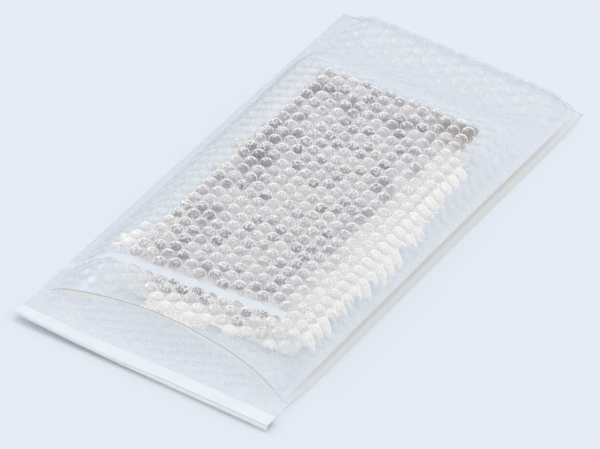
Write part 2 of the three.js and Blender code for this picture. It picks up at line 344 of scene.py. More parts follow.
def flapLift(x, y):  # the flap's left corner curls off the floor
    outwards = np.maximum(0, -x / halfWidth)
    pastLip = np.maximum(0, (lipY - y) / film["flapLength"])
    return film["flapCurl"] * (outwards * pastLip) ** 2


def weldShare(x):  # 0 in the pouch, 1 in the welded side
    return smoothStep(np.abs(x), seamInner - film["weldBlend"], seamInner + film["weldBlend"] / 4)


def pullShare(y):  # where along the seams the carton pulls at them
    return np.clip(1 - ((y - film["riseMiddle"]) / film["riseLength"]) ** 2, 0, 1)


def seamLift(x, y):
    outwards = smoothStep(np.abs(x), seamInner - film["riseWidth"], seamInner)
    return bySide(x, film["seamRise"]) * pullShare(y) * outwards


def seamPull(x, y):
    outwards = smoothStep(np.abs(x), film["pullFrom"] * seamInner, seamInner)
    return -np.sign(x) * bySide(x, film["seamPull"]) * pullShare(y) * outwards


def wallShare(y):  # where along the right side its margin hangs down
    return np.clip(1 - ((y - film["wallMiddle"]) / film["wallLength"]) ** film["wallPower"], 0, 1)


def marginFall(x, y):
    past = (np.abs(x) - seamInner - film["marginBend"]) / (film["seamWidth"] - film["marginBend"])
    return bySide(x, film["marginDrop"]) * wallShare(y) * np.clip(past, 0, 1)


def looseness(x, y):  # soft unevenness of the loose film, with puckers along the welds
    waves = film["slackWaves"]
    slack = sum(np.sin(math.tau * (a * x + b * y) + c) for a, b, c in waves) / len(waves)
    drift, driftPitch = film["puckerDrift"]
    pucker = np.sin(math.tau * y / film["puckerPitch"] + drift * np.sin(math.tau * y / driftPitch))
    atWeld = smoothStep(np.abs(x), *(share * seamInner for share in film["puckerFrom"]))
    return (film["slack"] * slack + film["pucker"] * pucker * atWeld) * (1 - tautShare(x, y))


def foldRadiusAt(x):
    pinch = smoothStep(np.abs(x), seamInner - film["foldPinch"], seamInner)
    return mix(film["foldRadius"], film["weldRadius"], pinch)


def foldAxisAt(x):
    stand = mix(film["foldStand"], film["weldReach"], weldShare(x))
    return pouchHigh.y - stand - foldRadiusAt(x)


def lipAt(x):
    arched = film["lipSetBack"] * (1 - np.minimum(1, np.abs(x) / seamInner) ** film["lipPower"])
    start, end = film["skewRun"]
    return lipY + arched + film["lipSkew"] * np.clip((-x - start) / (end - start), 0, 1) ** 2


foldArc = film["foldRadius"] * quarterTurn
upperLength = float(foldAxisAt(0.0)) + foldArc - float(lipAt(0.0))
lowerLength = float(foldAxisAt(0.0)) + foldArc - flapY - film["flapRound"] + tipArc


def webPoint(x, t):  # t runs along the web from the fold: upper sheet below zero, lower sheet above
    weld = weldShare(x)
    slit = film["weldSlit"] / 2
    radius, axis = foldRadiusAt(x), foldAxisAt(x)
    arc = radius * quarterTurn
    upperY = mix(axis, lipAt(x), np.clip((-t - arc) / (upperLength - arc), 0, 1))
    flat = axis - flapY - film["flapRound"]
    run = np.clip((t - arc) / (lowerLength - arc), 0, 1) * (flat + tipArc)
    over = np.maximum(0, run - flat)
    tip = np.minimum(over / film["flapRound"], quarterTurn)
    fall = film["flapRound"] * (1 - np.cos(tip)) + over - film["flapRound"] * tip
    lowerY = axis - np.minimum(run, flat) - film["flapRound"] * np.sin(tip)
    upperZ = mix(sheetZ + openHeight(x, upperY), sheetZ + slit, weld)
    bulge = 1 - smoothStep(axis - upperY, 0, film["foldBulge"])
    upperZ = mix(upperZ, sheetZ + 2 * radius, bulge) + looseness(x, upperY) * (1 - weld) * (1 - bulge)
    lowerZ = sheetZ + flapLift(x, lowerY) - slit * weld - fall
    onFold, upper = np.abs(t) < arc, t < 0
    angle = -t / radius
    y = np.where(onFold, axis + radius * np.cos(angle), np.where(upper, upperY, lowerY))
    z = np.where(onFold, sheetZ + radius + radius * np.sin(angle), np.where(upper, upperZ, lowerZ))
    return np.stack([x + seamPull(x, y), y, z + seamLift(x, y) - marginFall(x, y)], axis=-1)


def webNormal(x, t, step=0.0003):
    across = webPoint(x + step, t) - webPoint(x - step, t)
    along = webPoint(x, t + step) - webPoint(x, t - step)
    normal = np.cross(across, along)
    return normal / np.linalg.norm(normal, axis=-1, keepdims=True)


def hemDepth(x):  # the cut lip hangs down a little at both ends of the mouth
    ends = smoothStep(x, *film["hemRight"]) + 1 - smoothStep(x, *film["hemLeft"])
    room = openHeight(x, lipAt(x)) - film["filmGap"]
    hanging = bySide(x, film["hem"]) * mix(film["hemLeast"], 1, ends)
    return film["hemEdge"] + np.minimum(hanging, film["hemRoom"] * room)


# Shader helpers
def newMaterial(name):
    material = bpy.data.materials.new(name)
    material.use_nodes = True
    tree = material.node_tree
    tree.nodes.clear()
    output = tree.nodes.new("ShaderNodeOutputMaterial")
    shader = tree.nodes.new("ShaderNodeBsdfPrincipled")
    tree.links.new(shader.outputs["BSDF"], output.inputs["Surface"])
    return material, tree, shader


def feed(tree, socket, value):
    if isinstance(value, bpy.types.NodeSocket):
        tree.links.new(value, socket)
    elif socket.type == "RGBA":
        socket.default_value = (*value, 1)
    else:
        socket.default_value = value


def addNode(tree, kind, settings=None, **inputs):
    node = tree.nodes.new(kind)
    for name, value in (settings or {}).items():
        setattr(node, name, value)
    for name, value in inputs.items():
        feed(tree, node.inputs[name.replace("_", " ")], value)
    return node


def mathNode(tree, operation, a, b=0.0, c=0.0):
    node = tree.nodes.new("ShaderNodeMath")
    node.operation = operation
    for socket, value in zip(node.inputs, (a, b, c)):
        feed(tree, socket, value)
    return node.outputs[0]


def chained(tree, operation, first, *others):  # one operation over a row of values
    for other in others:
        first = mathNode(tree, operation, first, other)
    return first


def steps(tree, value, start, end, least=0.0, most=1.0):  # a soft rise between two values
    return addNode(
        tree, "ShaderNodeMapRange", {"interpolation_type": "SMOOTHSTEP"},
        Value=value, From_Min=start, From_Max=end, To_Min=least, To_Max=most,
    ).outputs["Result"]


mixSockets = {"FLOAT": (0, 2, 3, 0), "VECTOR": (0, 4, 5, 1), "RGBA": (0, 6, 7, 2)}  # share, a, b and result


def mixNode(kind, tree, share, a, b):
    node = addNode(tree, "ShaderNodeMix", {"data_type": kind})
    *places, result = mixSockets[kind]
    for place, value in zip(places, (share, a, b)):
        feed(tree, node.inputs[place], value)
    return node.outputs[result]


mixValue, mixVector, mixColour = (partial(mixNode, kind) for kind in mixSockets)


def vectorValue(tree, operation, a, b):
    node = addNode(tree, "ShaderNodeVectorMath", {"operation": operation})
    feed(tree, node.inputs[0], a)
    feed(tree, node.inputs[1], b)
    return node.outputs["Value"]


def facingTo(tree, normal, source):  # 1 on a surface that faces the source
    return vectorValue(tree, "DOT_PRODUCT", normal, Vector(source).normalized())


def attribute(tree, name, output="Fac"):
    return addNode(tree, "ShaderNodeAttribute", {"attribute_name": name}).outputs[output]


def objectPlace(tree):
    return addNode(tree, "ShaderNodeTexCoord").outputs["Object"]


def surfaceNormal(tree):
    return addNode(tree, "ShaderNodeNewGeometry").outputs["Normal"]


noiseSpread = (0.34, 0.66)  # most of a noise lies between these


def makeMottle():  # soft random patches between two levels
    group = bpy.data.node_groups.new("mottle", "ShaderNodeTree")
    group.interface.new_socket("Vector", in_out="INPUT", socket_type="NodeSocketVector")
    for name in ("Scale", "Detail", "Least", "Most"):
        group.interface.new_socket(name, in_out="INPUT", socket_type="NodeSocketFloat")
    group.interface.new_socket("Value", in_out="OUTPUT", socket_type="NodeSocketFloat")
    given = group.nodes.new("NodeGroupInput").outputs
    noise = addNode(
        group, "ShaderNodeTexNoise", Vector=given["Vector"], Scale=given["Scale"], Detail=given["Detail"]
    )
    level = addNode(
        group, "ShaderNodeMapRange", Value=noise.outputs["Fac"], From_Min=noiseSpread[0],
        From_Max=noiseSpread[1], To_Min=given["Least"], To_Max=given["Most"],
    )
    group.links.new(level.outputs["Result"], group.nodes.new("NodeGroupOutput").inputs["Value"])
    return group


mottle = makeMottle()


def mottled(tree, place, scale, least=0.0, most=1.0, detail=3.0):
    node = addNode(tree, "ShaderNodeGroup", {"node_tree": mottle}, Vector=place)
    for name, value in (("Scale", scale), ("Detail", detail), ("Least", least), ("Most", most)):
        feed(tree, node.inputs[name], value)
    return node.outputs["Value"]


# Bubble film
filmLook = {
    "colour": (0.845, 0.89, 0.95),
    "lowColour": (0.795, 0.845, 0.915),
    "dimColour": (0.735, 0.785, 0.855),
    # painted glints and painted sparkle
    "paintedGlintColour": (0.97, 0.98, 0.99),
    "bandColour": (0.80, 0.85, 0.92),
    "clearColour": (0.97, 0.97, 0.975),
    # painted shade, on each bubble's dark side and between the bubbles
    "paintedShadeColour": (0.20, 0.19, 0.22),
    "skirtColour": (0.985, 0.97, 0.955),
    "shadeColour": (0.80, 0.79, 0.81),  # painted shade on the base film under the cream skirt
    "cutColour": (0.45, 0.45, 0.46),
    "hemColour": (1.0, 0.985, 0.94),
    # painted shade: the right margin that hangs down is grey, for the shade under the raised seam
    "wallShadeColour": (0.80, 0.785, 0.79),
    "tipColour": (0.94, 0.945, 0.96),
    "clear": 0.06,  # haze of the clear skin, seen square on
    "arc": 1.0,  # and where it shows as a white arc round each bubble, a painted reflection along the dome's edge
    "glance": (0.35, 0.6),
    "shadeFrom": (0.43, -0.86, 0.29),  # painted shade: the bubbles are darkest on this side
    # painted glints, on the spots that face this way
    "glintFrom": (-0.29, -0.35, 0.89),
    "glintCone": (0.955, 0.985),
    "glintReach": (0.8, 0.5),  # reaches are in bubble radii
    "glintBreak": (-0.2, 0.2),
    "drawnOut": (1.0, 0.4, 0.7),  # streaks and grain run along the pouch
    "streakScale": 900.0,
    "streak": (-0.6, 0.6),
    "tone": (-0.9, 0.3),  # of the painted shade and light, by how far a bubble faces the shade, and without that
    # where the painted shade and the painted light set in
    "darkTone": (0.0, -0.45),
    "brightTone": (0.2, 0.55),
    "dark": 0.85,  # haze of the painted dark side
    "domeReach": (1.08, 0.96),
    "valleyScale": 520.0,
    "valley": (-0.04, 0.6),  # haze between the bubbles
    "valleyReach": (0.98, 1.08),
    "pit": 0.6,  # and how dark the painted shade is there
    "pitReach": (1.02, 1.1),
    "rimScale": 300.0,
    "rim": (0.135, 0.675),  # haze of the rims, a painted reflection
    "rimInner": (0.92, 1.0),
    "rimOuter": (1.14, 1.02),
    "rimShade": (0.7, 0.2),
    "nearRim": 0.25,  # share of that on a bubble's shaded side, as painted shade
    "skirt": 0.55,
    "shade": 0.5,
    "veil": 0.25,  # haze of the loose film's bubbles
    "lowerVeil": 0.4,
    "veilFall": -0.85,
    # painted glints thicken the loose film's haze by this much
    "fleck": 0.12,
    "base": 0.45,
    "lowerBase": 0.6,
    "baseScale": 220.0,
    "baseRange": (0.9, 1.1),
    "band": 0.92,
    "edgeHaze": 0.85,
    "lightThrough": 0.82,
    "grainScale": 420.0,
    # painted sparkle: small white specks of highlight over the film
    "sparkleScale": 560.0,
    "sparkleLevel": (0.88, 1.0),
    "crease": 0.6,
    "roughness": 0.16,
    "flatten": 0.75,  # how little the loose bubbles show in the light
    "crimpPitch": 0.002,
    "crinkleScale": 260.0,
    "bumpStrength": 0.25,
    "bumpDistance": 0.0005,
}
filmMasks = (
    "reach", "outer", "clear", "upper", "cut", "hem", "wall", "weld", "skirt", "depth", "band", "tip", "dim",
    "crease",
)


def bubbleTones(tree, look, at):  # the painted shade on each bubble's dark side, and its painted light: the bright streaks and the glint
    maths, times = partial(mathNode, tree), partial(chained, tree, "MULTIPLY")
    at.shaded = facingTo(tree, at.normal, look["shadeFrom"])
    streaks = mottled(tree, at.drawnOut, look["streakScale"], *look["streak"])
    tone = maths("ADD", maths("MULTIPLY_ADD", at.shaded, *look["tone"]), streaks)
    onDome = steps(tree, at.reach, *look["domeReach"])
    # painted shade on each bubble's dark side
    at.dark = times(steps(tree, tone, *look["darkTone"]), onDome, at.depth)
    # a painted glint near each bubble's crown
    glint = steps(tree, facingTo(tree, at.normal, look["glintFrom"]), *look["glintCone"])
    at.glint = times(glint, steps(tree, at.reach, *look["glintReach"]))
    brokenGlint = times(at.glint, steps(tree, streaks, *look["glintBreak"]))
    # painted light and highlights on each bubble's bright side
    at.bright = times(maths("MAXIMUM", steps(tree, tone, *look["brightTone"]), brokenGlint), onDome)


def filmAlpha(tree, look, at):  # the film's haze, most of which lets light and shadow through
    maths, times = partial(mathNode, tree), partial(chained, tree, "MULTIPLY")
    facing = addNode(tree, "ShaderNodeLayerWeight").outputs["Facing"]
    # painted reflection: the skin turns white where it is seen along it
    skin = steps(tree, facing, *look["glance"], look["clear"], look["arc"])
    # the painted shade and painted light of each bubble thicken its haze
    bubble = maths("ADD", skin, maths("MULTIPLY_ADD", at.dark, look["dark"], at.bright))
    valley = mottled(tree, at.place, look["valleyScale"], *look["valley"])
    # painted reflection: a white rim round each bubble's base, weaker on its shaded side
    rim = times(
        steps(tree, at.reach, *look["rimInner"]), steps(tree, at.reach, *look["rimOuter"]),
        steps(tree, at.shaded, *look["rimShade"], look["nearRim"], 1.0),
        mottled(tree, at.place, look["rimScale"], *look["rim"]),
    )
    clear = mixValue(tree, steps(tree, at.reach, *look["valleyReach"]), bubble, valley)
    clear = maths("MULTIPLY_ADD", at.skirt, look["skirt"], maths("MAXIMUM", clear, rim))
    veil = mixValue(tree, at.upper, look["lowerVeil"], look["veil"])
    veil = times(veil, maths("MULTIPLY_ADD", times(facing, facing), look["veilFall"], 1.0))
    # painted glints on the loose film
    veil = maths("MULTIPLY_ADD", times(at.glint, at.upper), look["fleck"], veil)
    base = mixValue(tree, at.skirt, look["clear"], look["shade"])
    base = mixValue(tree, at.clear, look["base"], base)
    base = mixValue(tree, at.upper, look["lowerBase"], base)
    base = times(base, mottled(tree, at.place, look["baseScale"], *look["baseRange"]))
    haze = mixValue(tree, at.outer, base, mixValue(tree, at.clear, veil, clear))
    haze = mixValue(tree, times(at.band, at.outer), haze, look["band"])
    haze = maths("MINIMUM", mixValue(tree, at.edge, haze, look["edgeHaze"]), 1.0)
    path = addNode(tree, "ShaderNodeLightPath").outputs
    unseen = maths("MAXIMUM", path["Is Shadow Ray"], path["Is Diffuse Ray"])
    return times(haze, maths("MULTIPLY_ADD", unseen, -look["lightThrough"], 1.0))


def filmColour(tree, look, at):
    maths, times = partial(mathNode, tree), partial(chained, tree, "MULTIPLY")
    # painted shade between the bubbles and on each bubble's dark side
    pit = steps(tree, at.reach, *look["pitReach"], 0.0, look["pit"])
    clear = mixColour(tree, maths("MAXIMUM", at.dark, pit), look["clearColour"], look["paintedShadeColour"])
    clear = mixColour(tree, at.skirt, clear, look["skirtColour"])
    # painted sparkle: small white specks of highlight
    paintedSparkles = steps(tree, mottled(tree, at.place, look["sparkleScale"]), *look["sparkleLevel"])
    grain = mottled(tree, at.drawnOut, look["grainScale"])
    colour = mixColour(tree, grain, look["lowColour"], look["colour"])
    layers = (
        (at.dim, look["dimColour"]),
        (paintedSparkles, look["paintedGlintColour"]),
        # painted glints
        (times(at.glint, at.outer), look["paintedGlintColour"]),
        (at.band, look["bandColour"]),
        # painted shade on the base film under the cream skirt
        (times(at.skirt, maths("SUBTRACT", 1.0, at.outer)), look["shadeColour"]),
        (at.bubbled, clear),
        # painted shade on the hanging right margin
        (at.wall, look["wallShadeColour"]),
        (times(at.crease, look["crease"]), look["cutColour"]),
        (at.tip, look["tipColour"]),
        (at.hem, look["hemColour"]),
        (at.cut, look["cutColour"]),
    )
    for share, layer in layers:
        colour = mixColour(tree, share, colour, layer)
    return colour


def filmNormal(tree, look, at):  # the loose bubbles are softened, and the welds are crimped
    maths, times = partial(mathNode, tree), partial(chained, tree, "MULTIPLY")
    lay = attribute(tree, "lay", "Vector")
    side = maths("SIGN", vectorValue(tree, "DOT_PRODUCT", at.normal, lay))
    lay = addNode(tree, "ShaderNodeVectorMath", {"operation": "SCALE"}, Vector=lay, Scale=side)
    flatten = times(maths("SUBTRACT", 1.0, maths("MAXIMUM", at.bubbled, at.edge)), look["flatten"])
    y = addNode(tree, "ShaderNodeSeparateXYZ", Vector=at.place).outputs["Y"]
    crimp = maths("SINE", maths("MULTIPLY", y, math.tau / look["crimpPitch"]))
    crinkle = mottled(tree, at.place, look["crinkleScale"])
    return addNode(
        tree, "ShaderNodeBump", Strength=look["bumpStrength"], Distance=look["bumpDistance"],
        Height=maths("MULTIPLY_ADD", crimp, at.weld, crinkle),
        Normal=mixVector(tree, flatten, at.normal, lay.outputs["Vector"]),
    ).outputs["Normal"]


def makeFilmMaterial(look):
    material, tree, shader = newMaterial("clearBubbleFilm")
    at = SimpleNamespace(**{name: attribute(tree, name) for name in filmMasks})  # levels at each spot
    at.place, at.normal = objectPlace(tree), surfaceNormal(tree)
    drawn = addNode(tree, "ShaderNodeMapping", Vector=at.place, Scale=look["drawnOut"])
    at.drawnOut = drawn.outputs["Vector"]
    at.edge = chained(tree, "MAXIMUM", at.hem, at.cut, at.wall, at.tip, at.crease)
    offBand = mathNode(tree, "SUBTRACT", 1.0, at.band)
    at.bubbled = chained(tree, "MULTIPLY", at.clear, at.outer, offBand)  # the clear film's bubbled side
    bubbleTones(tree, look, at)
    feed(tree, shader.inputs["Base Color"], filmColour(tree, look, at))
    feed(tree, shader.inputs["Alpha"], filmAlpha(tree, look, at))
    feed(tree, shader.inputs["Roughness"], look["roughness"])
    feed(tree, shader.inputs["Normal"], filmNormal(tree, look, at))
    return material


def cellMesh(name, rings):
    # one hexagonal cell of the web, with rings of (radius, height) from its edge to its crown
    sides = film["cellSides"]
    bm = bmesh.new()
    reachLayer = bm.verts.layers.float.new("reach")
    corner = film["pitch"] / math.sqrt(3)

    def ringAt(radii, height):
        ring = []
        for spot in range(sides):
            angle = math.tau * spot / sides
            radius = radii[spot % 2]
            vert = bm.verts.new((radius * math.cos(angle), radius * math.sin(angle), height))
            vert[reachLayer] = radius / film["bubbleRadius"]
            ring.append(vert)
        return ring

    loops = [ringAt((corner, film["pitch"] / 2), 0.0)]
    loops += [ringAt((radius, radius), height) for radius, height in rings[:-1]]
    for outerLoop, innerLoop in zip(loops, loops[1:]):
        for spot in range(sides):
            after = (spot + 1) % sides
            bm.faces.new((outerLoop[spot], outerLoop[after], innerLoop[after], innerLoop[spot]))
    crown = bm.verts.new((0, 0, rings[-1][1]))
    crown[reachLayer] = 0.0 if len(rings) > 1 else awayFromBubbles
    for spot in range(sides):
        bm.faces.new((loops[-1][spot], loops[-1][(spot + 1) % sides], crown))
    mesh = bpy.data.meshes.new(name)
    bm.to_mesh(mesh)
    bm.free()
    return bpy.data.objects.new(name, mesh)


def bubbleProfile(shares):  # (share of the radius, share of the height) to metres
    return [(r * film["bubbleRadius"], h * film["bubbleHeight"]) for r, h in shares]


upperCell = cellMesh("upperCell", bubbleProfile(film["upperProfile"]))
lowerCell = cellMesh("lowerCell", bubbleProfile(film["lowerProfile"]))
flatCell = cellMesh("flatCell", [(0, 0)])


def makeLatticeTree():
    tree = bpy.data.node_groups.new("bubbleLattice", "GeometryNodeTree")
    tree.interface.new_socket("Geometry", in_out="OUTPUT", socket_type="NodeSocketGeometry")
    kinds = {
        "Columns": "Int", "Rows": "Int", "Column Spacing": "Float", "Pitch": "Float", "Phase": "Float",
        "Bubble Reach": "Float", "First Bubble": "Float", "Last Bubble": "Float",
        "Least Plump": "Float", "Most Plump": "Float", "Seed": "Int",
        "Upper Cell": "Object", "Lower Cell": "Object", "Flat Cell": "Object", "Film": "Material",
    }
    for name, kind in kinds.items():
        tree.interface.new_socket(name, in_out="INPUT", socket_type="NodeSocket" + kind)
    given = tree.nodes.new("NodeGroupInput").outputs
    maths = partial(mathNode, tree)

    def both(a, b):
        node = tree.nodes.new("FunctionNodeBooleanMath")
        tree.links.new(a, node.inputs[0])
        tree.links.new(b, node.inputs[1])
        return node.outputs[0]

    def opposite(a):
        node = tree.nodes.new("FunctionNodeBooleanMath")
        node.operation = "NOT"
        tree.links.new(a, node.inputs[0])
        return node.outputs[0]

    grid = addNode(
        tree, "GeometryNodeMeshGrid",
        Size_X=maths("MULTIPLY", maths("SUBTRACT", given["Columns"], 1.0), given["Column Spacing"]),
        Size_Y=maths("MULTIPLY", maths("SUBTRACT", given["Rows"], 1.0), given["Pitch"]),
        Vertices_X=given["Columns"], Vertices_Y=given["Rows"],
    )
    where = tree.nodes.new("GeometryNodeInputPosition").outputs[0]
    split = addNode(tree, "ShaderNodeSeparateXYZ", Vector=where).outputs
    column = maths("ROUND", maths("DIVIDE", split["X"], given["Column Spacing"]))
    odd = maths("MODULO", maths("ABSOLUTE", column), 2.0)
    shift = maths("ADD", given["Phase"], maths("MULTIPLY", maths("MULTIPLY", odd, given["Pitch"]), 0.5))
    offset = addNode(tree, "ShaderNodeCombineXYZ", Y=shift).outputs[0]
    points = addNode(tree, "GeometryNodeSetPosition", Geometry=grid.outputs["Mesh"], Offset=offset).outputs[0]

    inX = maths("LESS_THAN", maths("ABSOLUTE", split["X"]), given["Bubble Reach"])
    afterFirst = maths("GREATER_THAN", split["Y"], given["First Bubble"])
    beforeLast = maths("LESS_THAN", split["Y"], given["Last Bubble"])
    bubble = both(inX, both(afterFirst, beforeLast))
    upper = maths("LESS_THAN", split["Y"], 0.0)
    kindsOfCell = {
        "Upper Cell": both(bubble, upper),
        "Lower Cell": both(bubble, opposite(upper)),
        "Flat Cell": opposite(bubble),
    }
    join = tree.nodes.new("GeometryNodeJoinGeometry")
    for name, chosen in kindsOfCell.items():
        shape = addNode(tree, "GeometryNodeObjectInfo", Object=given[name]).outputs["Geometry"]
        copies = addNode(
            tree, "GeometryNodeInstanceOnPoints", Points=points, Selection=chosen, Instance=shape
        )
        tree.links.new(copies.outputs[0], join.inputs[0])
    fullness = addNode(tree, "FunctionNodeRandomValue", {"data_type": "FLOAT"}, Seed=given["Seed"])
    tree.links.new(given["Least Plump"], fullness.inputs[2])
    tree.links.new(given["Most Plump"], fullness.inputs[3])
    stored = addNode(
        tree, "GeometryNodeStoreNamedAttribute", {"data_type": "FLOAT", "domain": "INSTANCE"},
        Geometry=join.outputs[0], Name="plump", Value=fullness.outputs[1],
    )
    real = addNode(tree, "GeometryNodeRealizeInstances", Geometry=stored.outputs[0])
    merged = addNode(tree, "GeometryNodeMergeByDistance", Geometry=real.outputs[0], Distance=mergeGap)
    painted = addNode(tree, "GeometryNodeSetMaterial", Geometry=merged.outputs[0], Material=given["Film"])
    output = tree.nodes.new("NodeGroupOutput")
    tree.links.new(painted.outputs[0], output.inputs[0])
    return tree


def latticeMesh(tree, name, values):
    holder = bpy.data.objects.new(name, bpy.data.meshes.new(name))
    scene.collection.objects.link(holder)
    modifier = holder.modifiers.new("lattice", "NODES")
    modifier.node_group = tree
    for item in tree.interface.items_tree:
        if item.in_out == "INPUT":
            modifier[item.identifier] = values[item.name]
    graph = bpy.context.evaluated_depsgraph_get()
    mesh = bpy.data.meshes.new_from_object(
        holder.evaluated_get(graph), preserve_all_data_layers=True, depsgraph=graph
    )
    holder.modifiers.remove(modifier)
    bpy.data.objects.remove(holder)
    return mesh


def extend(bm, axis, start, places):
    # grows the sheet's edge at start on to each further place
    edges = [
        edge for edge in bm.edges
        if edge.is_boundary and all(abs(vert.co[axis] - start) < onLine for vert in edge.verts)
    ]
    for place in places:
        made = bmesh.ops.extrude_edge_only(bm, edges=edges)["geom"]
        verts = {item for item in made if isinstance(item, bmesh.types.BMVert)}
        edges = [
            item for item in made
            if isinstance(item, bmesh.types.BMEdge) and all(vert in verts for vert in item.verts)
        ]
        for vert in verts:
            vert.co[axis] = place


def flatSheet(mesh):
    # trims the lattice to the web and adds the flap's tip and the welded margins, all still flat
    places = np.empty(len(mesh.vertices) * 3)
    mesh.vertices.foreach_get("co", places)
    places = places.reshape(-1, 3)
    tipStart, tipSteps = lowerLength - tipArc, film["tipSteps"]
    places[:, 0] = np.clip(places[:, 0], -seamInner, seamInner)
    places[:, 1] = np.clip(places[:, 1], -upperLength, tipStart)
    mesh.vertices.foreach_set("co", places.ravel())
    bm = bmesh.new()
    bm.from_mesh(mesh)
    bmesh.ops.remove_doubles(bm, verts=bm.verts, dist=mergeGap)
    slivers = [face for face in bm.faces if face.calc_area() < sliverArea]
    bmesh.ops.delete(bm, geom=slivers, context="FACES")
    bmesh.ops.delete(bm, geom=[vert for vert in bm.verts if not vert.link_faces], context="VERTS")
    extend(bm, 1, tipStart, [tipStart + tipArc * step / tipSteps for step in range(1, tipSteps + 1)])
    margins = [seamInner + width for width in film["marginLines"]] + [halfWidth]
    for side in (-1, 1):
        extend(bm, 0, side * seamInner, [side * margin for margin in margins])
    for face in bm.faces:
        face.normal_update()
        if face.normal.z < 0:
            face.normal_flip()
    return bm


def joinSheets(outer, inner):
    # the base film goes under the bubbles, and the web's cut edges are closed all round
    outerLayer = outer.verts.layers.float.new("outer")
    dropLayer = outer.verts.layers.float.new("drop")
    cutLayer = outer.faces.layers.float.new("cut")
    hemLayer = outer.faces.layers.float.new("hem")
    for vert in outer.verts:
        vert[outerLayer] = 1.0
    reachLayer = outer.verts.layers.float["reach"]
    rimEdges = [edge for edge in outer.edges if edge.is_boundary]
    copies = {}
    for vert in inner.verts:
        copies[vert] = outer.verts.new(vert.co)
        copies[vert][reachLayer] = awayFromBubbles
    for face in inner.faces:
        outer.faces.new([copies[vert] for vert in reversed(face.verts)])
    innerRim = [vert for vert in inner.verts if vert.is_boundary]
    tree = kdtree.KDTree(len(innerRim))
    for index, vert in enumerate(innerRim):
        tree.insert(vert.co, index)
    tree.balance()

    def under(vert):
        return copies[innerRim[tree.find(vert.co)[1]]]

    hems = {}

    def hemOf(vert):  # from the outer skin down the hem and back up to the base film
        if vert not in hems:
            chain = [vert]
            depth = float(hemDepth(vert.co.x))
            for share, drop in ((1.0, film["hemEdge"]), *((skin, depth) for skin in film["hemSkins"])):
                low = outer.verts.new(vert.co)
                low[reachLayer], low[outerLayer], low[dropLayer] = awayFromBubbles, share, drop
                chain.append(low)
            hems[vert] = chain + [under(vert)]
        return hems[vert]

    def closing(corners, layer):
        outer.faces.new(corners)[layer] = 1.0

    def atLip(vert):
        return vert.co.y < -upperLength + onLine and abs(vert.co.x) < seamInner - film["hemShort"]

    hemEdges = {}
    for edge in rimEdges:
        loop = edge.link_loops[0]
        a, b = loop.vert, loop.link_loop_next.vert
        if not (atLip(a) and atLip(b)):
            outer.faces.new((b, a, under(a), under(b)))
            continue
        hemB, hemA = hemOf(b), hemOf(a)
        for place in range(len(hemA) - 1):
            layer = cutLayer if place == 0 else hemLayer
            closing((hemB[place], hemA[place], hemA[place + 1], hemB[place + 1]), layer)
        for vert in (a, b):
            hemEdges[vert] = hemEdges.get(vert, 0) + 1
    for vert, count in hemEdges.items():
        if count == 1:  # an end of the hem
            closing(hemOf(vert), hemLayer)
    inner.free()
    bmesh.ops.recalc_face_normals(outer, faces=outer.faces)
    print("open edges left on the web:", sum(not edge.is_manifold for edge in outer.edges))
    return outer


def finishMesh(mesh, material, sharpAngle):
    mesh.materials.clear()
    mesh.materials.append(material)
    mesh.polygons.foreach_set("use_smooth", [True] * len(mesh.polygons))
    mesh.set_sharp_from_angle(angle=math.radians(sharpAngle))
    mesh.update()
    piece = bpy.data.objects.new(mesh.name, mesh)
    scene.collection.objects.link(piece)
    return piece


